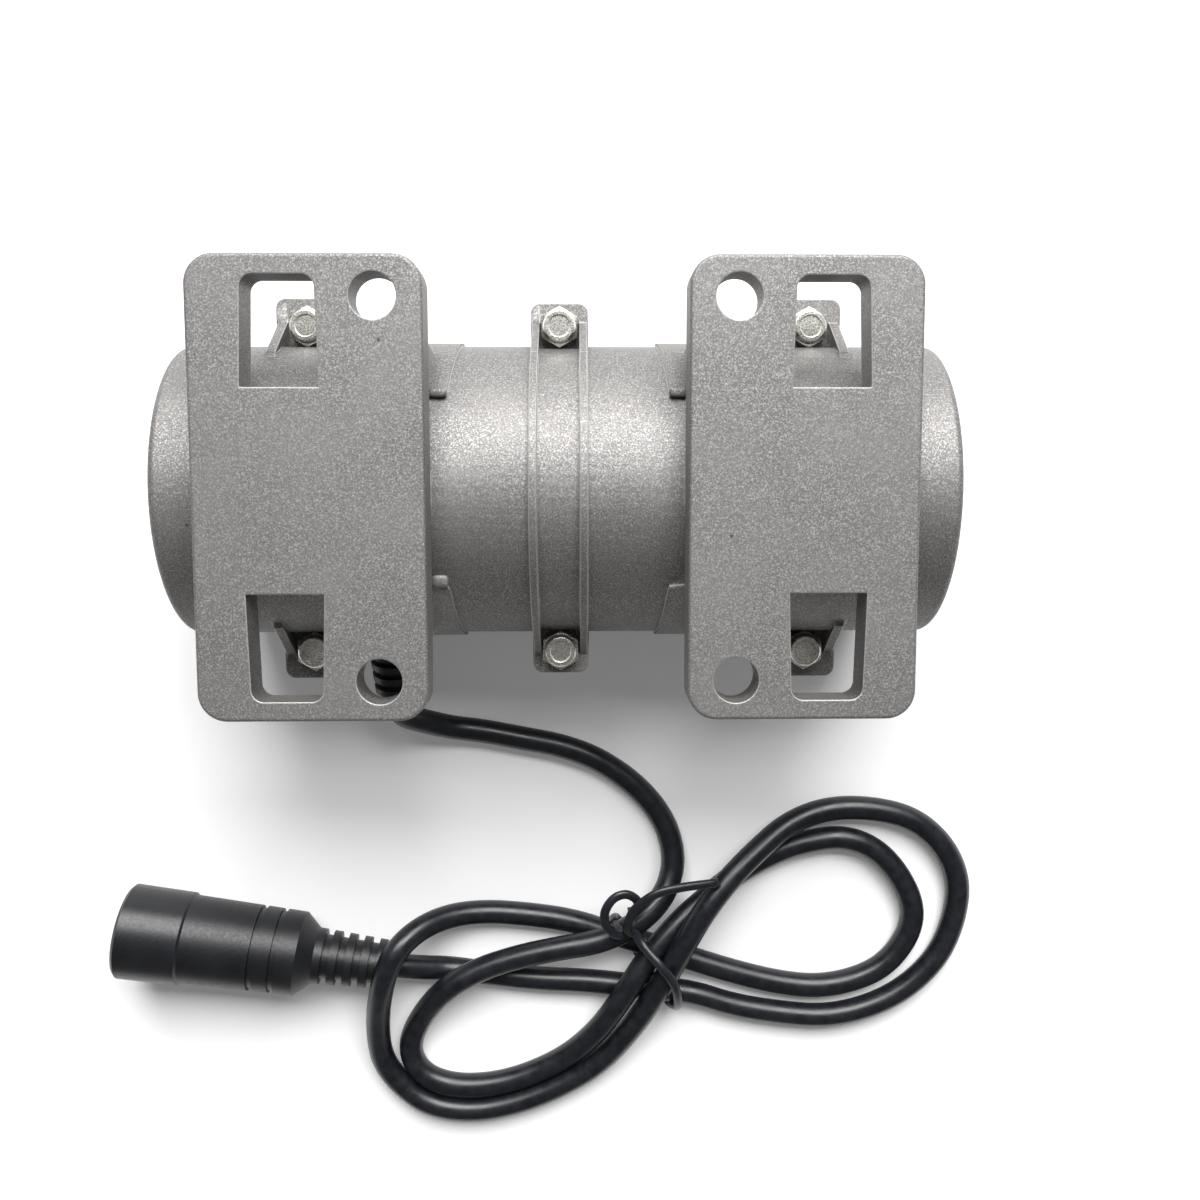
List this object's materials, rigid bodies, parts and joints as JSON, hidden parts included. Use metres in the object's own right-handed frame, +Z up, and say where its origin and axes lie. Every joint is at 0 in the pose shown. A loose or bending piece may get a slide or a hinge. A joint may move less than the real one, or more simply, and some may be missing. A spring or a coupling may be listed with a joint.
{
  "type": "vibration motor",
  "caption": "Brushless vibration motor: split cast housing with two bolt-down feet, sealed rotor with eccentric weights, and a cord that ends in a round connector.",
  "frame": {"origin": "under the middle of the housing, on the surface that the crown rests on; the feet are up, as when the motor hangs under a plate", "axes": "+X along the barrel and the shaft, +Y away from the side the cord leaves, +Z up out of the feet"},
  "size_m": [0.199, 0.1923, 0.0664],
  "materials": {
    "cast_housing": "satin",
    "zinc_steel": "satin",
    "nylon": "matte",
    "electrical_steel": "satin",
    "insulator": "matte",
    "copper_winding": "satin",
    "circuit_board": "satin",
    "chip": "matte",
    "can": "satin",
    "bearing_steel": "polished",
    "spring_steel": "satin",
    "ground_steel": "polished",
    "magnet": "satin",
    "weight_steel": "satin",
    "moulded_black": "satin",
    "cord_jacket": "satin",
    "tie_wire": "satin",
    "contact_metal": "polished"
  },
  "bodies": {
    "housing": {"foot_shell": "cast_housing", "crown_shell": "cast_housing", "shell_screws": "zinc_steel", "lock_nuts": "zinc_steel", "nut_inserts": "nylon", "stator_core": "electrical_steel", "stator_insulators": "insulator", "stator_coils": "copper_winding", "driver_board": "circuit_board", "power_transistors": "chip", "motor_controller": "chip", "capacitor": "can", "board_screws": "spring_steel", "bearing_outer_left": "bearing_steel", "bearing_outer_right": "bearing_steel", "bearing_shields_left": "bearing_steel", "bearing_shields_right": "bearing_steel", "preload_washer": "spring_steel", "cable_gland": "moulded_black", "cord_lead": "cord_jacket", "cord_tie": "tie_wire", "cord_hank": "cord_jacket", "connector_sleeve": "moulded_black", "connector_body": "moulded_black", "connector_insert": "moulded_black", "connector_contacts": "contact_metal", "connector_relief": "moulded_black"},
    "rotor": {"shaft": "ground_steel", "rotor_core": "electrical_steel", "rotor_magnets": "magnet", "retaining_rings": "spring_steel", "weight_set_screws": "spring_steel", "eccentric_left": "weight_steel", "eccentric_right": "weight_steel", "bearing_inner_left": "bearing_steel", "bearing_inner_right": "bearing_steel"},
    "cage_left": {"bearing_balls_left": "bearing_steel", "bearing_cage_left": "bearing_steel"},
    "cage_right": {"bearing_balls_right": "bearing_steel", "bearing_cage_right": "bearing_steel"}
  },
  "joints": [
    {"name": "rotor_spin", "type": "hinge", "parent": "housing", "child": "rotor", "pos_m": [0, 0, 0.03], "axis": [1, 0, 0], "continuous": true},
    {"name": "cage_left_spin", "type": "hinge", "parent": "housing", "child": "cage_left", "pos_m": [-0.0468, 0, 0.03], "axis": [1, 0, 0], "continuous": true},
    {"name": "cage_right_spin", "type": "hinge", "parent": "housing", "child": "cage_right", "pos_m": [0.0468, 0, 0.03], "axis": [1, 0, 0], "continuous": true}
  ],
  "couplings": [
    {"joint": "cage_left_spin", "follows": "rotor_spin", "ratio": 0.3678},
    {"joint": "cage_right_spin", "follows": "rotor_spin", "ratio": 0.3678}
  ]
}
